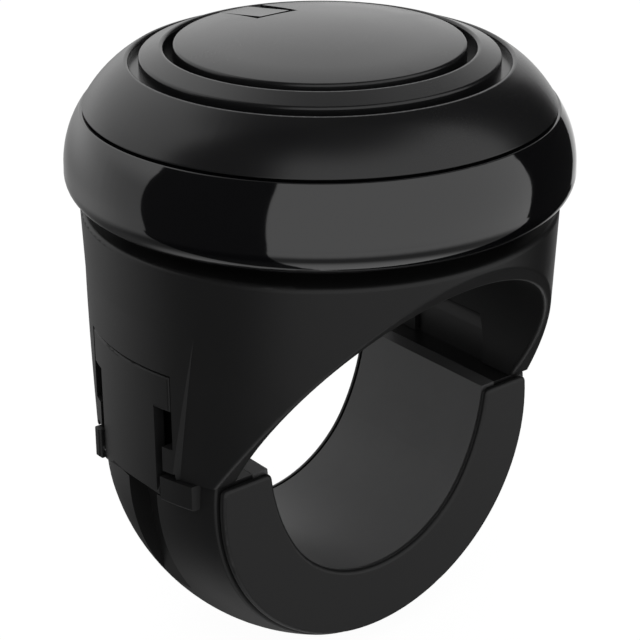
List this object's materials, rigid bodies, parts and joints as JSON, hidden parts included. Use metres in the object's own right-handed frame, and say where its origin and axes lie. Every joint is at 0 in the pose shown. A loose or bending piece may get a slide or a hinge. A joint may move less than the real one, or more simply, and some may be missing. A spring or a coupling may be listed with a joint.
{
  "type": "steering wheel spinner knob",
  "caption": "Low round spinner knob that turns on a ball bearing above a hinged clamp, which a flush latch closes round a steering wheel's rim.",
  "frame": {"origin": "centre of the clamp's lower arc, on the axis of the steering wheel's rim", "axes": "+Z along the knob's spin axis, away from the rim; +Y along the rim; the hinge is at +X and the latch at -X"},
  "size_m": [0.05, 0.05, 0.0641],
  "materials": {
    "satin_plastic": "satin black",
    "gloss_plastic": "polished black",
    "matt_plastic": "fine matt black",
    "rubber": "soft matt black",
    "cage_plastic": "natural nylon",
    "steel": "bright steel"
  },
  "bodies": {
    "housing": {"housing": "matt_plastic", "upper_pad": "rubber", "hinge_pin": "steel", "spindle": "steel", "spindle_circlip": "steel", "spindle_screw": "steel", "inner_race": "steel"},
    "knob": {"cover_disc": "satin_plastic", "trim_ring": "satin_plastic", "dome_cap": "satin_plastic", "gloss_band": "gloss_plastic", "knob_base": "matt_plastic", "knob_screws": "steel", "outer_race": "steel", "bearing_shields": "steel", "hub_circlip": "steel"},
    "ball_cage": {"bearing_balls": "steel", "bearing_cage": "cage_plastic"},
    "clamp": {"clamp_arm": "matt_plastic", "clamp_liner": "rubber", "side_plate_front": "matt_plastic", "side_plate_rear": "matt_plastic", "latch_pin": "steel"},
    "latch": {"latch_lever": "matt_plastic"}
  },
  "joints": [
    {"name": "knob_spin", "type": "hinge", "parent": "housing", "child": "knob", "pos_m": [0, 0, 0.0319], "axis": [0, 0, 1], "continuous": true},
    {"name": "cage_orbit", "type": "hinge", "parent": "housing", "child": "ball_cage", "pos_m": [0, 0, 0.0319], "axis": [0, 0, 1], "continuous": true},
    {"name": "clamp_hinge", "type": "hinge", "parent": "housing", "child": "clamp", "pos_m": [0.0206, 0, 0.0064], "axis": [0, -1, 0], "range_deg": [0, 70]},
    {"name": "latch_swing", "type": "hinge", "parent": "clamp", "child": "latch", "pos_m": [-0.022, 0, 0.00105], "axis": [0, -1, 0], "range_deg": [0, 84.5]}
  ],
  "couplings": [
    {"joint": "cage_orbit", "follows": "knob_spin", "ratio": 0.632},
    {"joint": "latch_swing", "follows": "clamp_hinge", "ratio": 1.2}
  ]
}
